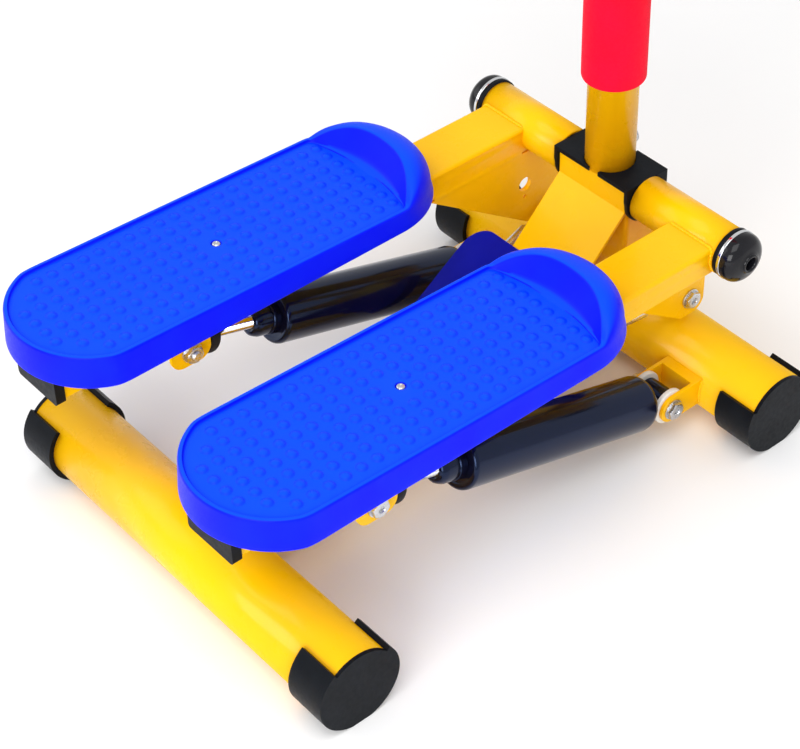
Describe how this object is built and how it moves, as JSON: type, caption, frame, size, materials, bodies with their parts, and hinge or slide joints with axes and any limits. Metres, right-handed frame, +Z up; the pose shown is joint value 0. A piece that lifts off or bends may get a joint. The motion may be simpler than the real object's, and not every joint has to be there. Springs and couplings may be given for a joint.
{
  "type": "stepper",
  "caption": "Twin-pedal stepper with hydraulic cylinders, a coupled rocker linkage, a tubular steel base and a foam-covered hand post with a T bar.",
  "frame": {"origin": "on the floor, on the centre plane, under the middle of the bounding box", "axes": "+Z up, +Y forwards from the heels towards the post, +X to the user's right"},
  "size_m": [0.352, 0.502, 0.849],
  "materials": {
    "paint_yellow": "gloss",
    "plastic_black": "fine grain",
    "plastic_gloss_black": "gloss",
    "zinc": "zinc plated",
    "chrome": "polished",
    "cylinder_black": "gloss",
    "nylon_white": "satin",
    "pedal_blue": "moulded, satin",
    "cover_navy": "moulded, satin",
    "foam_red": "soft closed-cell foam",
    "rubber_black": "matte"
  },
  "bodies": {
    "frame": {"rear_base_tube": "paint_yellow", "front_base_tube": "paint_yellow", "centre_beam": "paint_yellow", "column": "paint_yellow", "brace_plate": "paint_yellow", "hub_tube": "paint_yellow", "post_spigot": "paint_yellow", "post_tube": "paint_yellow", "post_foam": "foam_red", "handlebar": "paint_yellow", "handlebar_grips": "foam_red", "handlebar_plugs": "plastic_black", "rear_foot_cap_left": "plastic_black", "rear_foot_cap_right": "plastic_black", "front_foot_cap_left": "plastic_black", "front_foot_cap_right": "plastic_black", "hub_cover_left": "plastic_black", "hub_cover_right": "plastic_black", "axle": "chrome", "axle_washers": "zinc", "axle_screws": "zinc", "axle_caps": "plastic_gloss_black", "cylinder_bracket_left": "paint_yellow", "cylinder_bracket_right": "paint_yellow", "bracket_bolts": "zinc", "bracket_washers": "nylon_white", "rocker_bolt": "zinc", "centre_cover": "cover_navy", "cover_screws": "zinc", "post_bolt": "zinc"},
    "right_arm": {"right_arm_tube": "paint_yellow", "right_sleeve": "paint_yellow", "right_bushings": "plastic_black", "right_crank_plate": "paint_yellow", "right_cylinder_lug": "paint_yellow", "right_end_plug": "plastic_black", "right_pedal": "pedal_blue", "right_arm_bolts": "zinc"},
    "right_cylinder_body": {"right_barrel": "cylinder_black", "right_gland": "cylinder_black"},
    "right_cylinder_rod": {"right_piston_rod": "chrome", "right_rod_eye": "zinc", "right_bumper": "rubber_black"},
    "left_arm": {"left_arm_tube": "paint_yellow", "left_sleeve": "paint_yellow", "left_bushings": "plastic_black", "left_crank_plate": "paint_yellow", "left_cylinder_lug": "paint_yellow", "left_end_plug": "plastic_black", "left_pedal": "pedal_blue", "left_arm_bolts": "zinc"},
    "left_cylinder_body": {"left_barrel": "cylinder_black", "left_gland": "cylinder_black"},
    "left_cylinder_rod": {"left_piston_rod": "chrome", "left_rod_eye": "zinc", "left_bumper": "rubber_black"},
    "rocker": {"rocker_bar": "zinc"},
    "right_coupling_link": {"right_link": "zinc"},
    "left_coupling_link": {"left_link": "zinc"}
  },
  "joints": [
    {"name": "right_arm_pivot", "type": "hinge", "parent": "frame", "child": "right_arm", "pos_m": [0.0821, 0.205, 0.162], "axis": [1, 0, 0], "range_deg": [-10, 10]},
    {"name": "left_arm_pivot", "type": "hinge", "parent": "frame", "child": "left_arm", "pos_m": [-0.0821, 0.205, 0.162], "axis": [1, 0, 0], "range_deg": [-10, 10]},
    {"name": "right_cylinder_pivot", "type": "hinge", "parent": "frame", "child": "right_cylinder_body", "pos_m": [0.104, 0.159, 0.035], "axis": [1, 0, 0], "range_deg": [-10.6, 10.6]},
    {"name": "right_cylinder_stroke", "type": "slide", "parent": "right_cylinder_body", "child": "right_cylinder_rod", "axis": [0, -0.9576, 0.2881], "range_m": [-0.024, 0.024]},
    {"name": "left_cylinder_pivot", "type": "hinge", "parent": "frame", "child": "left_cylinder_body", "pos_m": [-0.104, 0.159, 0.035], "axis": [1, 0, 0], "range_deg": [-10.6, 10.6]},
    {"name": "left_cylinder_stroke", "type": "slide", "parent": "left_cylinder_body", "child": "left_cylinder_rod", "axis": [0, -0.9576, 0.2881], "range_m": [-0.024, 0.024]},
    {"name": "rocker_pivot", "type": "hinge", "parent": "frame", "child": "rocker", "pos_m": [0, 0.133, 0.0695], "axis": [0, 0, 1], "range_deg": [-14.3, 14.3]},
    {"name": "right_link_pivot", "type": "hinge", "parent": "right_arm", "child": "right_coupling_link", "pos_m": [0.0723, 0.215, 0.0855], "axis": [1, 0, 0], "range_deg": [-10, 10]},
    {"name": "left_link_pivot", "type": "hinge", "parent": "left_arm", "child": "left_coupling_link", "pos_m": [-0.0723, 0.215, 0.0855], "axis": [1, 0, 0], "range_deg": [-10, 10]}
  ],
  "couplings": [
    {"joint": "left_arm_pivot", "follows": "right_arm_pivot", "ratio": -1},
    {"joint": "right_cylinder_pivot", "follows": "right_arm_pivot", "ratio": 1.0273},
    {"joint": "left_cylinder_pivot", "follows": "right_arm_pivot", "ratio": -1.0273},
    {"joint": "right_cylinder_stroke", "follows": "right_arm_pivot", "m_per_rad": -0.1344},
    {"joint": "left_cylinder_stroke", "follows": "right_arm_pivot", "m_per_rad": 0.1344},
    {"joint": "rocker_pivot", "follows": "right_arm_pivot", "ratio": 1.395},
    {"joint": "right_link_pivot", "follows": "right_arm_pivot", "ratio": -1},
    {"joint": "left_link_pivot", "follows": "right_arm_pivot", "ratio": 1}
  ]
}
